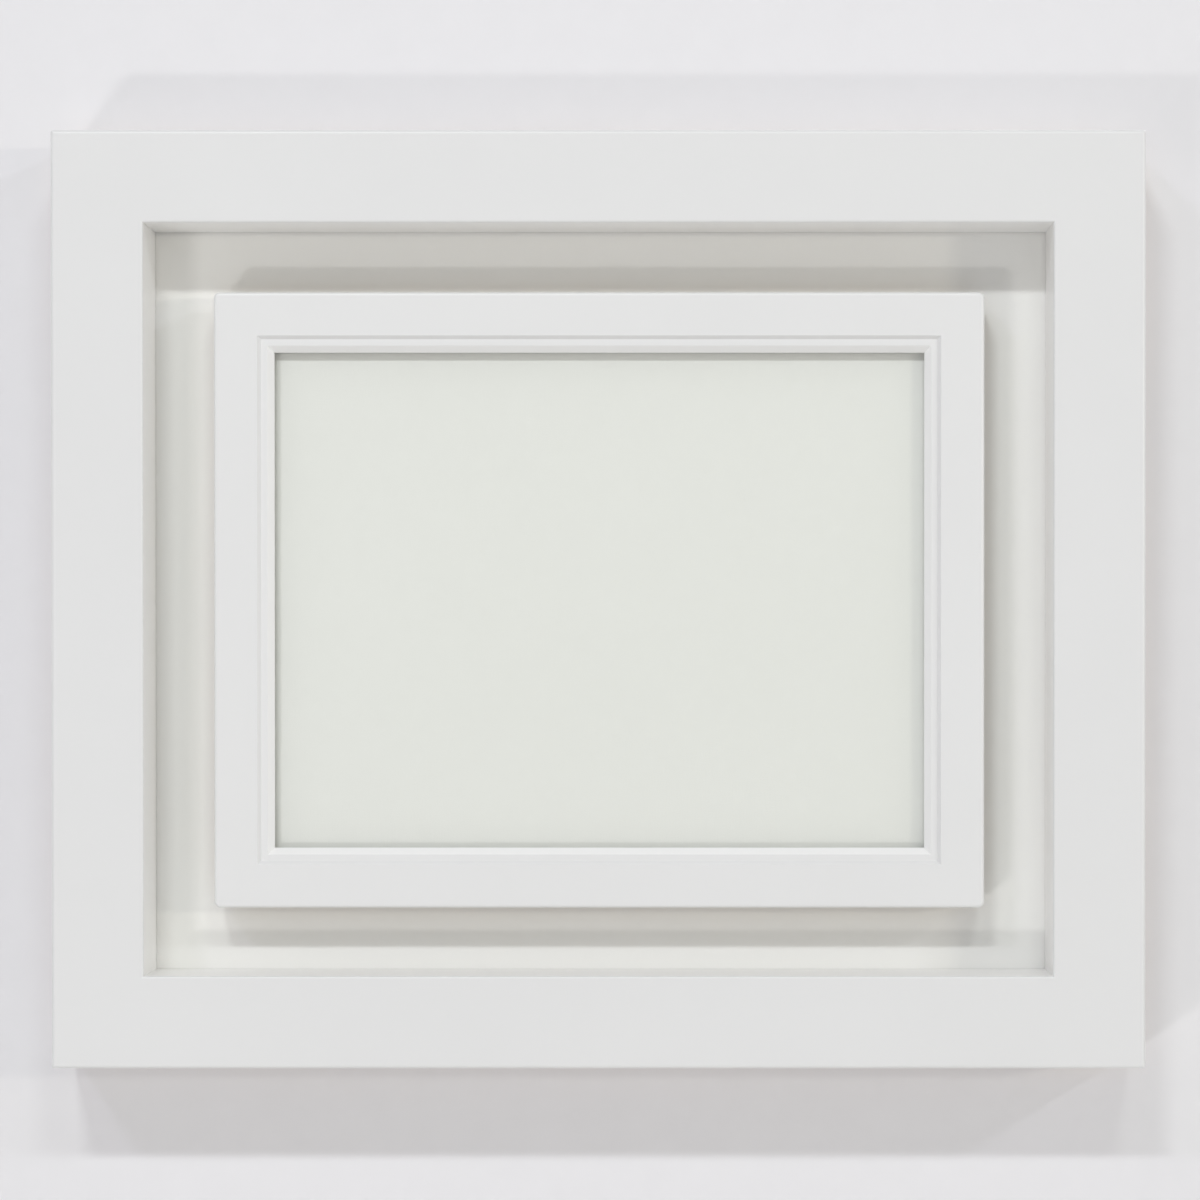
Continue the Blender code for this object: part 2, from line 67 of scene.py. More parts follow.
# Outer frame: four rails of solid wood, deeper than their face is wide, mitred, glued and filled. White
# satin lacquer is sprayed over the joints, so none shows in front. The back stays bare, with a little
# overspray along its edges.
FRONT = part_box("left_stile")[0].y
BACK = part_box("left_stile")[1].y
DEPTH = BACK - FRONT
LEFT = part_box("left_stile")[0].x
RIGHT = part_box("right_stile")[1].x
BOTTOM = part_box("bottom_rail")[0].z
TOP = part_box("top_rail")[1].z
FACE_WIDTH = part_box("left_stile")[1].x - LEFT
BOARD_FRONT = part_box("display_board")[0].y
REBATE_WIDTH = 0.005
OUTER_CORNER_ROUND = 0.0008
BOARD_CLEARANCE = 0.0003
BARE_EDGE = 0.0004
SATIN = 0.33
MERGE_DISTANCE = 0.0000005
GRAIN_ALONG = {"rail": (14, 90, 260), "stile": (260, 90, 14)}


def rounded(corners, steps=6, landing=0.00006):
    """The closed outline through corners (across, back, radius), each corner rounded to its radius.

    The arc at a corner starts and ends at radius / tan(half the corner's angle) along the two straights.
    It is the rational quadratic curve through the corner, whose weight is the sine of half the angle,
    which is a true circle. A last point on each straight, one landing further out, keeps the flats flat.
    """
    corners = np.array(corners, float)
    point, radius = corners[:, None, :2], corners[:, None, 2:]
    before = np.roll(point, 1, axis=0) - point
    after = np.roll(point, -1, axis=0) - point
    before /= np.linalg.norm(before, axis=2, keepdims=True)
    after /= np.linalg.norm(after, axis=2, keepdims=True)
    half = 0.5 * np.arccos(np.clip(np.sum(before * after, axis=2, keepdims=True), -1, 1))
    reach = radius / np.tan(half)
    t = np.linspace(0, 1, steps + 1)[None, :, None]
    start, end = point + before * reach, point + after * reach
    weights = (1 - t) ** 2, 2 * t * (1 - t) * np.sin(half), t**2
    bend = (weights[0] * start + weights[1] * point + weights[2] * end) / sum(weights)
    return np.concatenate([start + landing * before, bend, end + landing * after], axis=1).reshape(-1, 2)


def mitred_rail(outline, side, box, corner_round, stations=8):
    """A rail's outline (inwards, back) carried along its side of a frame to the mitres.

    Along the side, a point at the inward distance u ends on the mitre, at half the length less u. Where u
    is under the corner's radius R, it goes there round a quarter turn's half: R - u times the sine of the
    angle on from half - R, and R - u times its cosine in from R. The rest of it is straight.
    """
    left, right, bottom, top, front = box
    along, inwards = {"bottom": (1, 1), "right": (1, -1), "top": (-1, -1), "left": (-1, 1)}[side]
    level = side in ("bottom", "top")
    half = (right - left if level else top - bottom) / 2
    u, v = outline[:, None, 0], outline[:, None, 1]
    t = np.linspace(0, 1, stations + 1)[None, :]
    bent = np.maximum(corner_round - u, 0)
    landing = 0.00002 + 0.5 * np.maximum(u - corner_round, 0)
    end = half - np.maximum(u, corner_round) + bent * np.sin(t * math.pi / 4) - landing * (1 - t)
    depth_in = np.maximum(u, corner_round) - bent * np.cos(t * math.pi / 4)
    reach = np.concatenate([-end[:, ::-1], end], axis=1)
    depth_in = np.concatenate([depth_in[:, ::-1], depth_in], axis=1)
    edge = {"bottom": bottom, "right": right, "top": top, "left": left}[side]
    middle = (left + right) / 2 if level else (bottom + top) / 2
    run, cross = middle + along * reach, edge + inwards * depth_in
    back = front + v + 0 * run
    return np.stack([run, back, cross] if level else [cross, back, run], axis=2)


def grid_faces(rows, columns, round_rows=False, round_columns=False):
    """Four-sided faces of a grid of points stored row by row, closed on itself where it is round."""
    r = np.arange(rows if round_rows else rows - 1)[:, None]
    c = np.arange(columns if round_columns else columns - 1)[None, :]
    next_r, next_c = (r + 1) % rows, (c + 1) % columns
    corners = [r * columns + c, r * columns + next_c, next_r * columns + next_c, next_r * columns + c]
    return np.stack(corners, axis=2).reshape(-1, 4).tolist()


def add_piece(name, points, faces, body, finish, replaces=(), marks=None, sharp=35):
    """A closed surface as a piece of the object: poles merged, faces outwards, flats and arrises shaded."""
    mesh = bpy.data.meshes.new(name)
    mesh.from_pydata(points.reshape(-1, 3), [], faces)
    for mark, values in (marks or {}).items():
        mesh.attributes.new(mark, "FLOAT", "POINT").data.foreach_set("value", values.ravel())
    shape = bmesh.new()
    shape.from_mesh(mesh)
    bmesh.ops.remove_doubles(shape, verts=shape.verts, dist=MERGE_DISTANCE)
    bmesh.ops.recalc_face_normals(shape, faces=shape.faces)
    shape.to_mesh(mesh)
    shape.free()
    mesh.shade_smooth()
    mesh.set_sharp_from_angle(angle=math.radians(sharp))
    piece = bpy.data.objects.new(name, mesh)
    bpy.context.collection.objects.link(piece)
    mesh.materials.append(finish)
    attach(piece, body)
    if replaces:
        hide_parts(*replaces)
    return piece


def add_node(finish, kind, inputs=None, **settings):
    """Adds a node to a finish. An input is joined if it is given a socket, and else set to the value."""
    node = finish.node_tree.nodes.new(kind)
    for name, value in settings.items():
        setattr(node, name, value)
    for name, value in (inputs or {}).items():
        if isinstance(value, bpy.types.NodeSocket):
            finish.node_tree.links.new(value, node.inputs[name])
        else:
            node.inputs[name].default_value = value
    return node


def new_finish(name, **inputs):
    """A Principled finish whose even values are set on the shader itself. Returns it and its shader."""
    finish = bpy.data.materials.new(name)
    finish.use_nodes = True
    shader = finish.node_tree.nodes["Principled BSDF"]
    for socket, value in inputs.items():
        shader.inputs[socket.replace("_", " ")].default_value = value
    return finish, shader


def grain(finish, stretch, scale=1.0, detail=3.0, roughness=0.5):
    """Noise in the object's own space, in features per metre along X, Y and Z, times the scale."""
    place = add_node(finish, "ShaderNodeTexCoord").outputs["Object"]
    size = tuple(stretch) if isinstance(stretch, (tuple, list)) else (stretch,) * 3
    placed = add_node(finish, "ShaderNodeMapping", {"Vector": place, "Scale": size}).outputs["Vector"]
    values = {"Vector": placed, "Scale": scale, "Detail": detail, "Roughness": roughness}
    return add_node(finish, "ShaderNodeTexNoise", values).outputs["Fac"]


def blend_colours(finish, share, low, high):
    """The colour low where the share is 0, and high where it is 1. Either may itself be a socket."""
    node = add_node(finish, "ShaderNodeMix", data_type="RGBA")
    colour_inputs = [socket for socket in node.inputs if socket.type == "RGBA"]
    for socket, value in zip(colour_inputs, (low, high)):
        if isinstance(value, bpy.types.NodeSocket):
            finish.node_tree.links.new(value, socket)
        else:
            socket.default_value = (*value, 1.0)
    finish.node_tree.links.new(share, node.inputs["Factor"])
    return next(socket for socket in node.outputs if socket.type == "RGBA")


def spread(finish, share, low, high, from_low=0.3, from_high=0.7):
    """The share's middle range, stretched to run from low to high and held there beyond."""
    inputs = {"Value": share, "From Min": from_low, "From Max": from_high, "To Min": low, "To Max": high}
    return add_node(finish, "ShaderNodeMapRange", inputs).outputs["Result"]


def relief(finish, height, distance, strength=1.0, normal=None):
    """A bump of a height share times a distance in metres, on top of another bump if one is given."""
    inputs = {"Height": height, "Distance": distance, "Strength": strength}
    if normal:
        inputs["Normal"] = normal
    return add_node(finish, "ShaderNodeBump", inputs).outputs["Normal"]


def join(finish, shader, **inputs):
    """Joins worked-out colour, roughness or normal sockets to the shader."""
    for socket, value in inputs.items():
        finish.node_tree.links.new(value, shader.inputs[socket.replace("_", " ")])


def lacquer(name, light, dark, inner, gloss, peel_height, stretch):
    """Sprayed satin lacquer: cloudy by a hundredth, orange peel a millimetre or two wide, bare behind.

    Surfaces that face the middle of the frame are painted whiter than its face, a painted sheen and bounce
    light.
    """
    finish, shader = new_finish(name, Specular_IOR_Level=0.5)
    cloud = spread(finish, grain(finish, 18, detail=2), 0, 1)
    face = blend_colours(finish, cloud, dark, light)
    # Painted sheen: points marked as facing the middle of the frame take the whiter colour in place of the
    # face's.
    painted_sheen = add_node(finish, "ShaderNodeAttribute", attribute_name="painted_sheen").outputs["Fac"]
    coat = blend_colours(finish, painted_sheen, face, inner)
    wood = blend_colours(finish, grain(finish, stretch, detail=6, roughness=0.62), (0.40, 0.27, 0.15),
                         (0.72, 0.56, 0.38))
    speckle = add_node(finish, "ShaderNodeMath", {0: grain(finish, 900, detail=4), 1: 0.0016},
                       operation="MULTIPLY").outputs["Value"]
    inwards = add_node(finish, "ShaderNodeAttribute", attribute_name="inwards").outputs["Fac"]
    ragged = add_node(finish, "ShaderNodeMath", {0: inwards, 1: speckle}, operation="SUBTRACT")
    off_edge = spread(finish, ragged.outputs["Value"], 0, 1, -0.0003, 0.0014)
    behind = add_node(finish, "ShaderNodeAttribute", attribute_name="bare").outputs["Fac"]
    unsprayed = add_node(finish, "ShaderNodeMath", {0: behind, 1: off_edge}, operation="MULTIPLY")
    bare = unsprayed.outputs["Value"]
    satin = spread(finish, grain(finish, 30, detail=4), gloss - 0.03, gloss + 0.03)
    rough = add_node(finish, "ShaderNodeMapRange", {"Value": bare, "To Min": satin, "To Max": 0.8})
    peel = relief(finish, grain(finish, 620, detail=2), peel_height)
    fine = relief(finish, grain(finish, stretch, scale=6, detail=4), 0.00001, 0.35, peel)
    colour = blend_colours(finish, bare, coat, wood)
    join(finish, shader, Base_Color=colour, Roughness=rough.outputs["Result"], Normal=fine)
    return finish


def rail_marks(outline, bare_from, painted_sheen_width, stations=8):
    """How far in from the rail's outer edge each point lies, whether it is on the unsprayed back, and
    whether it is within the given width of the edge that faces the middle of the frame, where a painted
    sheen goes."""
    shape = np.ones((1, 2 * (stations + 1)))
    inwards = outline[:, :1] * shape
    bare = (outline[:, 1:] >= bare_from) * shape
    # Painted sheen mark: the points at the edge that faces the middle, made whiter than the face in the
    # finish.
    painted_sheen = (outline[:, :1] >= outline[:, 0].max() - painted_sheen_width - 0.00001) * shape
    return {"inwards": inwards, "bare": bare.astype(float), "painted_sheen": painted_sheen.astype(float)}


def add_rail(name, outline, side, box, corner_round, bare_from, finish, painted_sheen_width=0.0):
    """One rail with both its ends closed on the mitres."""
    points = mitred_rail(outline, side, box, corner_round)
    rows, columns = points.shape[:2]
    faces = grid_faces(rows, columns, round_rows=True)
    ends = [(np.arange(rows) * columns + column).tolist() for column in (0, columns - 1)]
    # The given width from the inner edge takes the painted sheen.
    marks = rail_marks(outline, bare_from, painted_sheen_width)
    return add_piece(name, points, faces + ends, "box", finish, [name.removesuffix("_body")], marks)


white = {}
# The third colour is a painted sheen: the recess walls are made whiter than the face, standing in for gloss
# and bounce light.
for kind, stretch in GRAIN_ALONG.items():
    white[kind] = lacquer(f"white_lacquer_{kind}", (0.802, 0.800, 0.801), (0.792, 0.790, 0.791),
                          (0.950, 0.944, 0.932), SATIN, 0.000012, stretch)
shoulder = BOARD_FRONT - FRONT - BOARD_CLEARANCE
outer_outline = rounded(
    [
        (0, 0, 0.0012),
        (FACE_WIDTH, 0, 0.0008),
        (FACE_WIDTH, shoulder, 0.00015),
        (FACE_WIDTH - REBATE_WIDTH, shoulder, 0.00015),
        (FACE_WIDTH - REBATE_WIDTH, DEPTH, 0.0003),
        (0, DEPTH, 0.0005),
    ]
)
outer_box = (LEFT, RIGHT, BOTTOM, TOP, FRONT)
for name, side, kind in (("bottom_rail", "bottom", "rail"), ("right_stile", "right", "stile"),
                         ("top_rail", "top", "rail"), ("left_stile", "left", "stile")):
    add_rail(name + "_body", outer_outline, side, outer_box, OUTER_CORNER_ROUND, DEPTH - BARE_EDGE,
             white[kind])


# Corner nails: bent steel V-nails pressed across each mitre from behind. Only their ends show, a hair
# proud of the bare wood.
NAIL_THICKNESS = 0.0008
NAIL_PROUD = 0.00015
NAIL_EASE = 0.00012


def plate(outline, low, high, ease, steps=4, landing=0.00005):
    """A flat piece: its outline in X and Z carried through its depth, from low to high, with eased arrises.

    Each ring is the outline moved inwards along its own normals. Over an arris the move is the ease less
    the ease times the sine of a quarter turn's angle, while the depth goes by one less its cosine.
    """
    ahead, behind = np.roll(outline, -1, axis=0), np.roll(outline, 1, axis=0)
    tangent = ahead - behind
    tangent /= np.linalg.norm(tangent, axis=1, keepdims=True)
    area = np.sum(outline[:, 0] * ahead[:, 1] - ahead[:, 0] * outline[:, 1])
    inwards = np.sign(area) * np.stack([-tangent[:, 1], tangent[:, 0]], axis=1)
    angle = np.linspace(0, math.pi / 2, steps + 1)
    move = np.concatenate([[ease + landing], ease * (1 - np.sin(angle))])
    sink = np.concatenate([[0], ease * (1 - np.cos(angle))])
    move = np.concatenate([move, [0, 0], move[::-1]])[:, None, None]
    depth = np.concatenate([low + sink, [low + ease + landing, high - ease - landing], high - sink[::-1]])
    plan = outline[None] + move * inwards[None]
    return np.stack([plan[..., 0], depth[:, None] + 0 * plan[..., 0], plan[..., 1]], axis=2)


def plate_faces(points):
    """The wall of a plate or a strip, and its two ends, each a single face."""
    rows, columns = points.shape[:2]
    ends = [np.arange(columns).tolist(), ((rows - 1) * columns + np.arange(columns)).tolist()]
    return grid_faces(rows, columns, round_columns=True) + ends


def steel(name, light, dark, roughness, brush, scratch_height):
    """Plated steel: a mottled plating with fine rubbing marks, duller where it has been handled."""
    finish, shader = new_finish(name, Metallic=1.0, Specular_IOR_Level=0.5)
    mottle = spread(finish, grain(finish, 420, detail=5, roughness=0.6), 0, 1, 0.35, 0.65)
    marks = grain(finish, brush, detail=3)
    dull = spread(finish, marks, roughness - 0.08, roughness + 0.12)
    colour = blend_colours(finish, mottle, dark, light)
    join(finish, shader, Base_Color=colour, Roughness=dull, Normal=relief(finish, marks, scratch_height))
    return finish


zinc = steel("zinc_steel", (0.66, 0.67, 0.68), (0.50, 0.51, 0.54), 0.30, (300, 300, 2600), 0.000006)
for upright in ("bottom", "top"):
    for across in ("left", "right"):
        node = f"corner_nail_{upright}_{across}"
        low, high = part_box(node)
        bend_x, far_x = (high.x, low.x) if across == "right" else (low.x, high.x)
        bend_z, far_z = (low.z, high.z) if upright == "bottom" else (high.z, low.z)
        into_x = math.copysign(NAIL_THICKNESS, far_x - bend_x)
        into_z = math.copysign(NAIL_THICKNESS, far_z - bend_z)
        nail_outline = rounded(
            [
                (bend_x, bend_z, 0.0009),
                (far_x, bend_z, 0.0003),
                (far_x, bend_z + into_z, 0.0003),
                (bend_x + into_x, bend_z + into_z, 0.0002),
                (bend_x + into_x, far_z, 0.0003),
                (bend_x, far_z, 0.0003),
            ],
            landing=0.00002,
        )
        points = plate(nail_outline, low.y, BACK + NAIL_PROUD, NAIL_EASE)
        faces = plate_faces(points)
        add_piece(f"v_nail_{upright}_{across}", points, faces, "box", zinc, [node])


# Inner frame: four smaller rails in the same lacquer. The face is flat, then drops by a small step to a
# ledge, and a bevel runs down to the sight edge. Its outer corners are sanded round.
INNER_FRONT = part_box("inner_left_stile")[0].y
INNER_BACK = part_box("inner_left_stile")[1].y
INNER_DEPTH = INNER_BACK - INNER_FRONT
INNER_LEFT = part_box("inner_left_stile")[0].x
INNER_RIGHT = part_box("inner_right_stile")[1].x
INNER_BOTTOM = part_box("inner_bottom_rail")[0].z
INNER_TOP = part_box("inner_top_rail")[1].z
INNER_FACE_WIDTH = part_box("inner_left_stile")[1].x - INNER_LEFT
FLAT_WIDTH = 0.0142
STEP_RUN = 0.0011
STEP_DROP = 0.0014
BEVEL_WIDTH = 0.0021
BEVEL_DROP = 0.0024
SIGHT_FACE = 0.0009
INNER_REBATE_WIDTH = 0.0045
INNER_CORNER_ROUND = 0.0020
INNER_BARE_EDGE = 0.0003

ledge_end = INNER_FACE_WIDTH - BEVEL_WIDTH
lip_back = STEP_DROP + BEVEL_DROP + SIGHT_FACE
inner_outline = rounded(
    [
        (0, 0, 0.0011),
        (FLAT_WIDTH, 0, 0.00025),
        (FLAT_WIDTH + STEP_RUN, STEP_DROP, 0.0003),
        (ledge_end, STEP_DROP, 0.0003),
        (INNER_FACE_WIDTH, STEP_DROP + BEVEL_DROP, 0.0002),
        (INNER_FACE_WIDTH, lip_back, 0.0001),
        (INNER_FACE_WIDTH - INNER_REBATE_WIDTH, lip_back, 0.0001),
        (INNER_FACE_WIDTH - INNER_REBATE_WIDTH, INNER_DEPTH, 0.0002),
        (0, INNER_DEPTH, 0.0003),
    ]
)
inner_white = {}
# The third colour is a painted highlight and sheen on the bevel and sight edge, over the bevel's width
# given below.
for kind, stretch in GRAIN_ALONG.items():
    inner_white[kind] = lacquer(f"inner_lacquer_{kind}", (0.812, 0.810, 0.810), (0.802, 0.800, 0.800),
                                (0.900, 0.896, 0.890), SATIN, 0.000010, stretch)
inner_box = (INNER_LEFT, INNER_RIGHT, INNER_BOTTOM, INNER_TOP, INNER_FRONT)
for side, kind in (("bottom", "rail"), ("right", "stile"), ("top", "rail"), ("left", "stile")):
    add_rail(f"inner_{side}_{kind}_body", inner_outline, side, inner_box, INNER_CORNER_ROUND,
             INNER_DEPTH - INNER_BARE_EDGE, inner_white[kind], BEVEL_WIDTH)


def refinish(finish, *nodes):
    """Gives CAD nodes whose shape is right a finish in place of their plain one."""
    for node in nodes:
        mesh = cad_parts[node].data
        mesh.materials.clear()
        mesh.materials.append(finish)


# Inner nails and retainer points: the small steel that holds the inner frame's mitres together and its
# insert in. All of it is hidden behind the frame.
refinish(zinc, *[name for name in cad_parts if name.startswith(("inner_nail", "retainer_point"))])


# Glazing: a sheet of clear glass in the inner frame's rebate, its cut edges faintly green.
def sheet_outline(node, corner=0.0004):
    """The four corners of a CAD sheet in X and Z, with its corners eased."""
    low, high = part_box(node)
    corners = [(low.x, low.z), (high.x, low.z), (high.x, high.z), (low.x, high.z)]
    return rounded([(x, z, corner) for x, z in corners])


def add_sheet(name, node, finish, ease):
    """A sheet the size of its CAD node, with eased arrises and corners."""
    low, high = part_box(node)
    points = plate(sheet_outline(node), low.y, high.y, ease)
    return add_piece(name, points, plate_faces(points), "box", finish, [node])


glass = bpy.data.materials.new("clear_glass")
glass.use_nodes = True
glass.node_tree.nodes.clear()
smear = spread(glass, grain(glass, 22, detail=3), 0.01, 0.04)
clear = add_node(glass, "ShaderNodeBsdfTransparent", {"Color": (0.998, 1.0, 0.999, 1)})
gloss = add_node(glass, "ShaderNodeBsdfGlossy", {"Color": (1, 1, 1, 1), "Roughness": smear})
share = add_node(glass, "ShaderNodeFresnel", {"IOR": 1.25})
pane = add_node(glass, "ShaderNodeMixShader", {0: share.outputs["Fac"], 1: clear.outputs["BSDF"],
                                               2: gloss.outputs["BSDF"]})
add_node(glass, "ShaderNodeOutputMaterial", {"Surface": pane.outputs["Shader"]})
add_sheet("glass_pane", "glazing_pane", glass, 0.0002)


# Insert: a plain off-white backing card covered in fine paper, whose threads run from side to side.
insert_card, shader = new_finish("insert_card", Roughness=0.92, Specular_IOR_Level=0.25, Sheen_Weight=0.05)
cloud = spread(insert_card, grain(insert_card, (9, 9, 12), detail=3), 0, 1)
thread = grain(insert_card, (160, 160, 2400), detail=3, roughness=0.6)
weft = grain(insert_card, (2000, 2000, 220), detail=2)
woven = add_node(insert_card, "ShaderNodeMath", {0: thread, 1: weft}, operation="ADD").outputs["Value"]
tint = blend_colours(insert_card, cloud, (0.868, 0.872, 0.836), (0.880, 0.884, 0.850))
toned = blend_colours(insert_card, spread(insert_card, woven, 0, 1, 0.7, 1.3), (0.862, 0.866, 0.830), tint)
join(insert_card, shader, Base_Color=toned, Normal=relief(insert_card, woven, 0.00002, 0.8))
add_sheet("insert_card", "insert_panel", insert_card, 0.00025)


# Risers: four bare softwood battens glued behind the inner frame, set in from its edge so that the frame
# seems to float.
for kind, sides in (("rail", ("top", "bottom")), ("stile", ("left", "right"))):
    batten, shader = new_finish(f"batten_wood_{kind}", Specular_IOR_Level=0.3)
    rings = grain(batten, GRAIN_ALONG[kind], detail=6, roughness=0.6)
    pores = grain(batten, tuple(5 * value for value in GRAIN_ALONG[kind]), detail=3)
    wood = blend_colours(batten, spread(batten, rings, 0, 1), (0.56, 0.41, 0.25), (0.76, 0.62, 0.43))
    dull = spread(batten, pores, 0.68, 0.85)
    join(batten, shader, Base_Color=wood, Roughness=dull, Normal=relief(batten, pores, 0.00004))
    refinish(batten, *[f"riser_{side}" for side in sides])


# Display board: a stiff matt white board at the back of the recess, with a faint tooth to its paper.
display_card, shader = new_finish("display_card", Specular_IOR_Level=0.3)
cloud = spread(display_card, grain(display_card, 10, detail=3), 0, 1)
tooth = grain(display_card, 1500, detail=4, roughness=0.6)
card = blend_colours(display_card, cloud, (0.896, 0.893, 0.870), (0.906, 0.903, 0.881))
dull = spread(display_card, tooth, 0.78, 0.92)
join(display_card, shader, Base_Color=card, Roughness=dull, Normal=relief(display_card, tooth, 0.000018))
refinish(display_card, "display_board")


# Mounting screws: four countersunk screws from behind the display board, through the risers and into the
# inner frame. The backboard hides them.
refinish(zinc, *[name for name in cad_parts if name.startswith("mounting_screw")])


# Backboard: brown hardboard, pressed from wood fibre, that closes the back. It lies loose in the rebate.
hardboard, shader = new_finish("brown_hardboard", Specular_IOR_Level=0.35)
fibre = grain(hardboard, (900, 900, 1300), detail=5, roughness=0.65)
place = add_node(hardboard, "ShaderNodeTexCoord").outputs["Object"]
fleck = add_node(hardboard, "ShaderNodeTexVoronoi", {"Vector": place, "Scale": 520.0}, feature="F1")
patch = spread(hardboard, grain(hardboard, 26, detail=4), 0, 1)
base = blend_colours(hardboard, patch, (0.235, 0.145, 0.080), (0.300, 0.192, 0.110))
fibres = blend_colours(hardboard, spread(hardboard, fibre, 0, 1, 0.38, 0.66), base, (0.390, 0.268, 0.162))
dark_flecks = spread(hardboard, fleck.outputs["Distance"], 1, 0, 0.10, 0.22)
flecked = blend_colours(hardboard, dark_flecks, fibres, (0.150, 0.090, 0.050))
rough = spread(hardboard, fibre, 0.55, 0.75)
join(hardboard, shader, Base_Color=flecked, Roughness=rough, Normal=relief(hardboard, fibre, 0.00003, 0.7))
add_sheet("hardboard_back", "backboard", hardboard, 0.0004)


# Turn buttons: stamped steel tongues that swing over the backboard and hold it in. Each turns on a
# pan-head screw.
BUTTON_EYE = 0.0046
BUTTON_TIP = 0.0030
BUTTON_REACH = 0.0135
BUTTON_HOLE = 0.0019
SCREW_HEAD = 0.0031
SCREW_HEAD_HEIGHT = 0.0019
SCREW_SHANK = 0.0014
SCREW_POINT = 0.003
CROSS_DEPTH = 0.0010
TONGUES = {
    "bottom_left": 90,
    "bottom_right": 90,
    "top_left": -90,
    "top_right": -90,
    "left": 0,
    "right": 180,
}


def tongue(angle):
    """How far a tongue's edge lies from its pivot, at an angle from its length: round the eye, then along
    the straight that touches both circles, where it is the eye's radius over the cosine of the angle left
    to the touching point, and last the far side of the tip's circle."""
    far = BUTTON_REACH - BUTTON_TIP
    touch = math.acos((BUTTON_EYE - BUTTON_TIP) / far)
    tip_end = math.atan2(BUTTON_TIP * math.sin(touch), far + BUTTON_TIP * math.cos(touch))
    off = np.abs(angle)
    straight = BUTTON_EYE / np.cos(np.clip(touch - off, 0, 1.4))
    chord = np.sqrt(np.maximum(BUTTON_TIP**2 - (far * np.sin(off)) ** 2, 0))
    round_tip = far * np.cos(off) + chord
    return np.where(off > touch, BUTTON_EYE, np.where(off > tip_end, straight, round_tip))


def pierced_tongue(pivot, low, high, turn, around=144, ease=0.00022, steps=4):
    """A tongue with a hole at its pivot, as rings between the hole's edge and its outline.

    Ring k goes the share s from the hole to the outline at each angle. Both arrises of both edges are
    quarter circles, and the rings run over the top, down the edge, back below and up the hole.
    """
    angle = np.linspace(-math.pi, math.pi, around, endpoint=False)
    angle = np.sign(angle) * math.pi * (np.abs(angle) / math.pi) ** 1.5
    edge = tongue(angle)
    bend = np.linspace(0, math.pi / 2, steps + 1)
    out, up = ease * (1 - np.sin(bend)), ease * (1 - np.cos(bend))
    inset = np.concatenate([out, out[::-1]])
    depth = np.concatenate([low + up, (high - up)[::-1]])
    outer_radius = edge[None] - inset[:, None]
    hole_radius = BUTTON_HOLE + inset[::-1, None] + 0 * edge[None]
    radius = np.concatenate([outer_radius, hole_radius])
    back = np.concatenate([depth, depth[::-1]])[:, None] + 0 * radius
    way = angle[None] + math.radians(turn)
    return np.stack([pivot[0] + radius * np.cos(way), back, pivot[1] + radius * np.sin(way)], axis=2)


def turned(profile, centre, around=48, cross=0.0):
    """A turned piece about the depth axis: the profile (radius, depth) carried round a full circle.

    cross is the depth of a cross-shaped recess in the outer end. It is sunk where the smaller of the two
    coordinates is inside an arm's half width and the larger inside its length, with sloped walls.
    """
    angle = np.linspace(0, 2 * math.pi, around, endpoint=False)[None]
    radius, depth = profile[:, :1] + 0 * angle, profile[:, 1:] + 0 * angle
    across, up = radius * np.cos(angle), radius * np.sin(angle)
    if cross:
        small, large = np.minimum(abs(across), abs(up)), np.maximum(abs(across), abs(up))
        wall, arm, length = 0.00022, 0.00042, 0.0017
        inside = np.clip((arm - small) / wall + 0.5, 0, 1) * np.clip((length - large) / wall + 0.5, 0, 1)
        depth = depth - cross * inside * (1 - 0.45 * large / length) * (depth > 0)
    return np.stack([centre[0] + across, centre[1] + depth, centre[2] + up], axis=2)


def pan_screw_profile(tip):
    """A pan head over a plain shank: a flat underside, an upright rim and a domed top, then the shank."""
    rim = 0.4 * SCREW_HEAD_HEIGHT
    dome = np.linspace(0, math.pi / 2, 34)
    height = rim + (SCREW_HEAD_HEIGHT - rim) * np.cos(dome)
    top = np.stack([SCREW_HEAD * np.sin(dome), height], axis=1)
    below = [(SCREW_HEAD, 0.0001), (SCREW_HEAD - 0.0001, 0), (SCREW_SHANK, 0), (SCREW_SHANK, -0.002)]
    return np.concatenate([top, np.array(below + [(SCREW_SHANK, tip + SCREW_POINT), (0, tip)])])


def add_pan_screw(name, node):
    """The screw of a CAD node, with its head on what it clamps."""
    low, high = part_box(node)
    centre = ((low.x + high.x) / 2, high.y - SCREW_HEAD_HEIGHT, (low.z + high.z) / 2)
    points = turned(pan_screw_profile(low.y - centre[1]), centre, around=96, cross=CROSS_DEPTH)
    faces = grid_faces(*points.shape[:2], round_columns=True)
    add_piece(name, points, faces, "box", zinc, [node], sharp=50)


for spot, turn in TONGUES.items():
    screw_low, screw_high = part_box(f"button_screw_{spot}")
    low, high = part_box(f"turn_button_{spot}")
    pivot = ((screw_low.x + screw_high.x) / 2, (screw_low.z + screw_high.z) / 2)
    points = pierced_tongue(pivot, low.y, high.y, turn)
    faces = grid_faces(*points.shape[:2], round_rows=True, round_columns=True)
    node = f"turn_button_{spot}"
    add_piece(f"button_tongue_{spot}", points, faces, node, zinc, [node])
    add_pan_screw(f"pan_screw_{spot}", f"button_screw_{spot}")


# Hangers: on each stile a nickel-plated strap, rolled round the bar of a wire ring and held by one screw.
# The ring swings in the roll and hangs on a wall hook.
STRAP_WIDTH = 0.010
STRAP_THICKNESS = 0.001
STRAP_END_ROUND = 0.0025
ROLL_TURN = 290.0
RING_WIRE = 0.001
RING_HALF_WIDTH = 0.0075
RING_BEND = 0.0022
RING_LEG = 0.0042
ROLL_CLEARANCE = 0.0003

nickel = steel("nickel_steel", (0.70, 0.67, 0.62), (0.61, 0.58, 0.53), 0.22, (2600, 300, 200), 0.0000015)


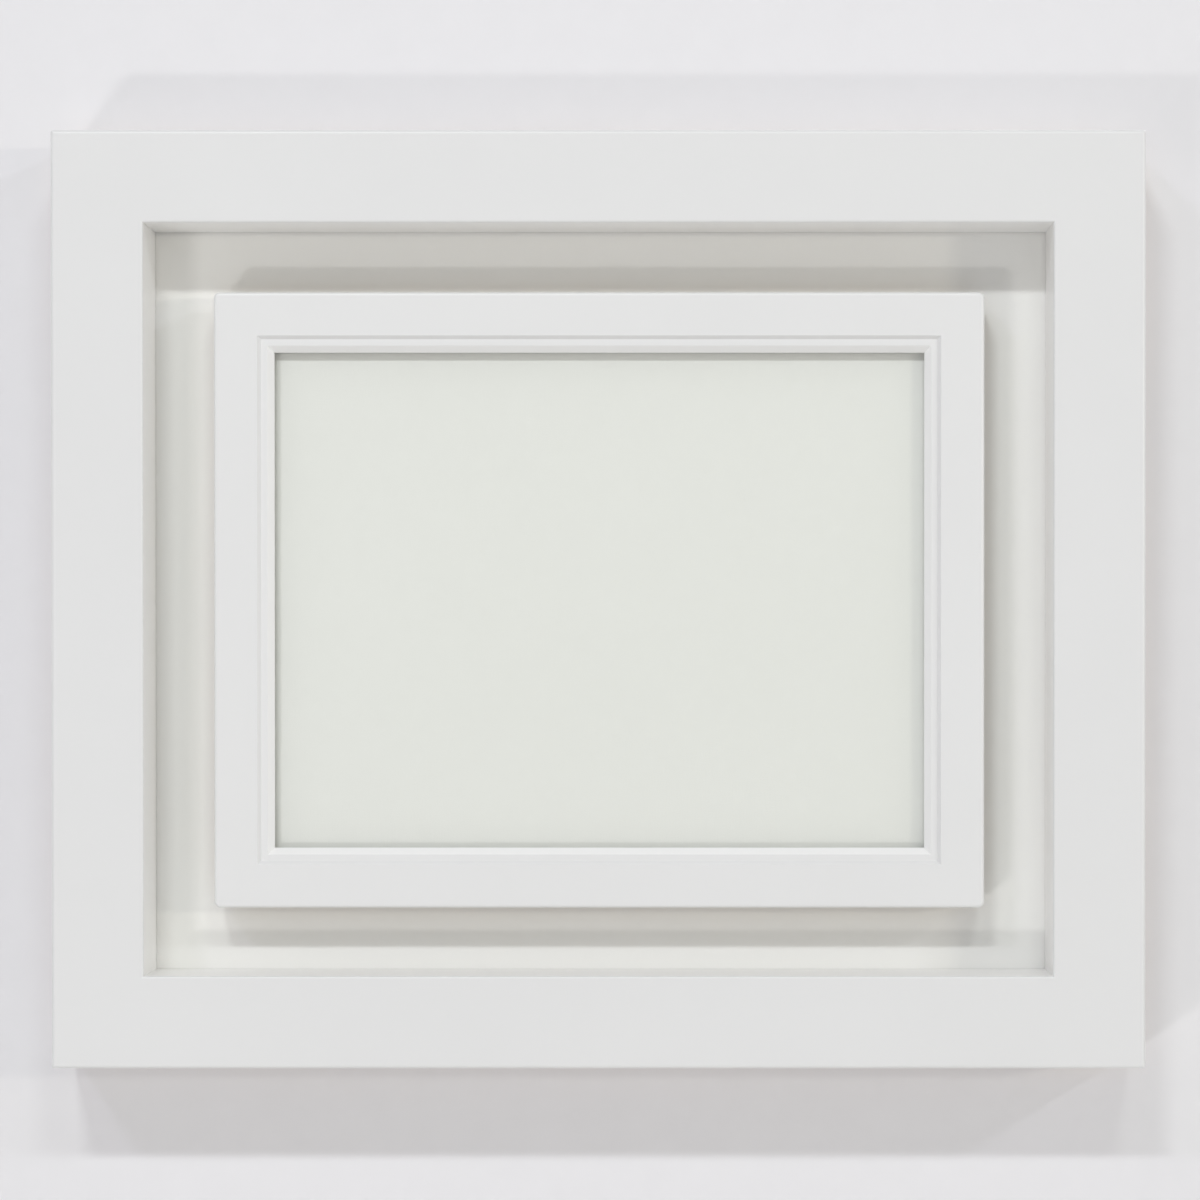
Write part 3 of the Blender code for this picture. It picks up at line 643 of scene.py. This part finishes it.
def strap(centre, bottom):
    """A strip with eased arrises, carried up from its tail and then round the ring's bar.

    Its middle line is straight up to the bar's height and then a circle. Towards the tail the strip
    narrows as a circle does, by the end's radius less the root of what is left of its square.
    """
    middle = RING_WIRE + ROLL_CLEARANCE + STRAP_THICKNESS / 2
    tail = centre[2] - bottom
    narrowing = STRAP_END_ROUND * (1 - np.cos(np.linspace(0, math.pi / 2, 10)))
    straight = np.concatenate([narrowing, np.linspace(STRAP_END_ROUND, tail, 14)[1:]])
    angle = np.radians(np.linspace(0, ROLL_TURN, 60))[1:]
    up = np.concatenate([straight - tail, middle * np.sin(angle)])
    back = np.concatenate([0 * straight - middle, -middle * np.cos(angle)])
    tilt = np.concatenate([0 * straight, angle])
    left = np.clip(STRAP_END_ROUND - straight, 0, None)
    cut_in = STRAP_END_ROUND - np.sqrt(np.maximum(STRAP_END_ROUND**2 - left**2, 0))
    half = STRAP_WIDTH / 2 - np.concatenate([cut_in, 0 * angle])
    section = rounded([(-1, -1, 0.3), (1, -1, 0.3), (1, 1, 0.3), (-1, 1, 0.3)], steps=4, landing=0.05)
    ease = STRAP_THICKNESS / 2 * (section - np.sign(section))
    wide = np.sign(section[:, 0])[None] * half[:, None] + ease[:, 0][None]
    thick = STRAP_THICKNESS / 2 * section[:, 1][None]
    x = centre[0] + wide
    y = centre[1] + back[:, None] - thick * np.cos(tilt)[:, None]
    z = centre[2] + up[:, None] + thick * np.sin(tilt)[:, None]
    return np.stack([x, y, z + 0 * x], axis=2)


def ring(centre, around=20):
    """A round wire carried along a D: a bar, two small bends, two legs and a half circle below.

    A point of the wire is a point of the path, plus the wire's radius times the cosine of an angle along
    the path's own normal, and times its sine along the depth.
    """
    bend, half = RING_BEND, RING_HALF_WIDTH
    quarter, sweep = np.linspace(math.pi / 2, 0, 9), np.linspace(0, -math.pi, 49)
    right = np.stack([half - bend + bend * np.cos(quarter), -bend + bend * np.sin(quarter)], 1)
    bow = np.stack([half * np.cos(sweep), -bend - RING_LEG + half * np.sin(sweep)], 1)
    left = right[::-1] * (-1, 1)
    path = np.concatenate([right, bow, left])
    way = np.roll(path, -1, axis=0) - np.roll(path, 1, axis=0)
    way /= np.linalg.norm(way, axis=1, keepdims=True)
    normal = np.stack([-way[:, 1], way[:, 0]], 1)
    angle = np.linspace(0, 2 * math.pi, around, endpoint=False)[None]
    x = centre[0] + path[:, :1] + RING_WIRE * np.cos(angle) * normal[:, :1]
    z = centre[2] + path[:, 1:] + RING_WIRE * np.cos(angle) * normal[:, 1:]
    y = centre[1] + RING_WIRE * np.sin(angle) + 0 * x
    return np.stack([x, y, z], axis=2)


for side in ("left", "right"):
    low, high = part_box(f"hanger_ring_{side}")
    bar = ((low.x + high.x) / 2, (low.y + high.y) / 2, high.z - RING_WIRE)
    points = ring(bar)
    faces = grid_faces(*points.shape[:2], round_rows=True, round_columns=True)
    node = f"hanger_ring_{side}"
    add_piece(f"wire_ring_{side}", points, faces, node, nickel, [node])
    node = f"hanger_strap_{side}"
    points = strap(bar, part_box(node)[0].z)
    add_piece(f"strap_{side}", points, plate_faces(points), "box", nickel, [node])
    add_pan_screw(f"strap_screw_{side}", f"hanger_screw_{side}")


# Bumpers: two soft grey rubber dots stuck near the bottom corners, which keep the box off the wall.
BUMPER_FOOT_ROUND = 0.0002
BUMPER_TOP_ROUND = 0.0011

rubber, shader = new_finish("grey_rubber", Specular_IOR_Level=0.35)
dust = grain(rubber, 700, detail=5, roughness=0.65)
tone = blend_colours(rubber, spread(rubber, dust, 0, 1), (0.165, 0.167, 0.170), (0.225, 0.226, 0.228))
rough = spread(rubber, dust, 0.62, 0.8)
join(rubber, shader, Base_Color=tone, Roughness=rough, Normal=relief(rubber, dust, 0.00002))
for side in ("left", "right"):
    low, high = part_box(f"bumper_{side}")
    radius, height = (high.x - low.x) / 2, high.y - low.y
    section = rounded(
        [
            (-radius, 0, BUMPER_FOOT_ROUND),
            (radius, 0, BUMPER_FOOT_ROUND),
            (radius, height, BUMPER_TOP_ROUND),
            (-radius, height, BUMPER_TOP_ROUND),
        ]
    )
    half_section = section[section[:, 0] > 0]
    profile = np.concatenate([[(0, 0)], half_section, [(0, height)]])
    points = turned(profile, ((low.x + high.x) / 2, low.y, (low.z + high.z) / 2), around=64)
    faces = grid_faces(*points.shape[:2], round_columns=True)
    add_piece(f"rubber_dot_{side}", points, faces, "box", rubber, [f"bumper_{side}"])


# The wall the box hangs on and the floor below it, both pale and matt. Neither is part of the object.
# From behind, the wall is clear, so that the back of the box can be seen.
WALL_GAP = 0.0004
WALL_AT = cad_box[1].y + WALL_GAP
WALL_REACH = 3
FLOOR_REACH = (4, 5)
FLOOR_AT = -1.0


def stage_sheet(name, corners, finish):
    """A single face of the surroundings, which light passes on its way to the object."""
    mesh = bpy.data.meshes.new(name)
    mesh.from_pydata(corners, [], [(0, 1, 2, 3)])
    mesh.materials.append(finish)
    sheet = bpy.data.objects.new(name, mesh)
    bpy.context.collection.objects.link(sheet)
    sheet.visible_shadow = False


wall_paint, shader = new_finish("wall_paint", Roughness=0.9, Specular_IOR_Level=0.2)
plaster = grain(wall_paint, 90, detail=5, roughness=0.6)
dapple = spread(wall_paint, plaster, 0, 1)
shade = blend_colours(wall_paint, dapple, (0.822, 0.813, 0.832), (0.834, 0.825, 0.844))
join(wall_paint, shader, Base_Color=shade, Normal=relief(wall_paint, plaster, 0.0002, 0.3))
behind = add_node(wall_paint, "ShaderNodeNewGeometry").outputs["Backfacing"]
see_through = add_node(wall_paint, "ShaderNodeBsdfTransparent")
either = add_node(wall_paint, "ShaderNodeMixShader", {0: behind, 1: shader.outputs["BSDF"],
                                                     2: see_through.outputs["BSDF"]})
wall_out = wall_paint.node_tree.nodes["Material Output"]
wall_paint.node_tree.links.new(either.outputs["Shader"], wall_out.inputs["Surface"])
lowest, highest = FLOOR_AT, WALL_REACH
wall_edge = [(-WALL_REACH, lowest), (WALL_REACH, lowest), (WALL_REACH, highest), (-WALL_REACH, highest)]
stage_sheet("wall", [(x, WALL_AT, z) for x, z in wall_edge], wall_paint)
floor_paint, shader = new_finish("floor_paint", Roughness=0.8)
mottle = spread(floor_paint, grain(floor_paint, 4, detail=4), 0, 1)
shade = blend_colours(floor_paint, mottle, (0.70, 0.70, 0.69), (0.74, 0.74, 0.73))
join(floor_paint, shader, Base_Color=shade)
across, along = FLOOR_REACH
floor_edge = [(-across, -along), (across, -along), (across, along), (-across, along)]
stage_sheet("floor", [(x, y, FLOOR_AT) for x, y in floor_edge], floor_paint)


# Light: a pale even room, six small lamps two metres in front of the wall, most of them high, and two wide
# ones behind it for the back of the box. A small lamp has its place across and up from the middle of the
# box as shares of its distance, its watts and its colour.
ROOM_STRENGTH = 0.45
LAMP_DISTANCE = 2.0
LAMP_SIZE = (0.35, 0.10)
BACK_LAMP_SIZE = (1.2, 0.9)
LAMPS = {
    "high_far_left": (-0.6, 0.72, 5.4, (0.85, 0.83, 1.00)),
    "high_left": (-0.2, 0.72, 10.7, (0.96, 1.00, 0.99)),
    "high_right": (0.2, 0.72, 5.5, (0.95, 1.00, 0.96)),
    "high_far_right": (1.4, 0.72, 11.6, (0.90, 0.92, 1.00)),
    "side_right": (1.1, 0.1, 9.4, (1.00, 0.95, 0.82)),
    "low_left": (-0.5, -0.5, 6.6, (1.00, 0.98, 0.97)),
}


def add_light(name, place, aim, size, watts, colour):
    """A rectangular lamp at a place, turned to face what it is aimed at."""
    light = bpy.data.lights.new(name, "AREA")
    light.shape = "RECTANGLE"
    light.size, light.size_y = size
    light.energy = watts
    light.color = colour
    lamp = bpy.data.objects.new(name, light)
    lamp.location = place
    lamp.rotation_euler = (lamp.location - Vector(aim)).to_track_quat("Z", "Y").to_euler()
    bpy.context.collection.objects.link(lamp)


middle = (0, FRONT, (BOTTOM + TOP) / 2)
for name, (across, up, watts, colour) in LAMPS.items():
    place = (across * LAMP_DISTANCE, -LAMP_DISTANCE, middle[2] + up * LAMP_DISTANCE)
    add_light(name, place, middle, LAMP_SIZE, watts, colour)
add_light("behind_left", (0.6, 2.2, 1.1), middle, BACK_LAMP_SIZE, 27.0, (1.0, 0.98, 0.96))
add_light("behind_right", (-0.7, 2.2, 0.0), middle, BACK_LAMP_SIZE, 14.0, (0.97, 0.99, 1.0))
room = bpy.data.worlds.new("room")
room.use_nodes = True
room_light = room.node_tree.nodes["Background"]
room_light.inputs["Color"].default_value = (1, 1, 1, 1)
room_light.inputs["Strength"].default_value = ROOM_STRENGTH
bpy.context.scene.world = room
bpy.context.scene.view_settings.view_transform = "Standard"


# The camera stands square to the wall, a little right of the middle and below it.
lens = bpy.data.cameras.new("camera")
lens.lens = 116.0
lens.sensor_width = 36.0
lens.shift_x, lens.shift_y = -0.08, 0.08
camera = bpy.data.objects.new("camera", lens)
camera.location = (0.033, -1.2747, 0.1324)
camera.rotation_euler = (math.pi / 2 - 0.009, 0, 0.001)
bpy.context.collection.objects.link(camera)
bpy.context.scene.camera = camera
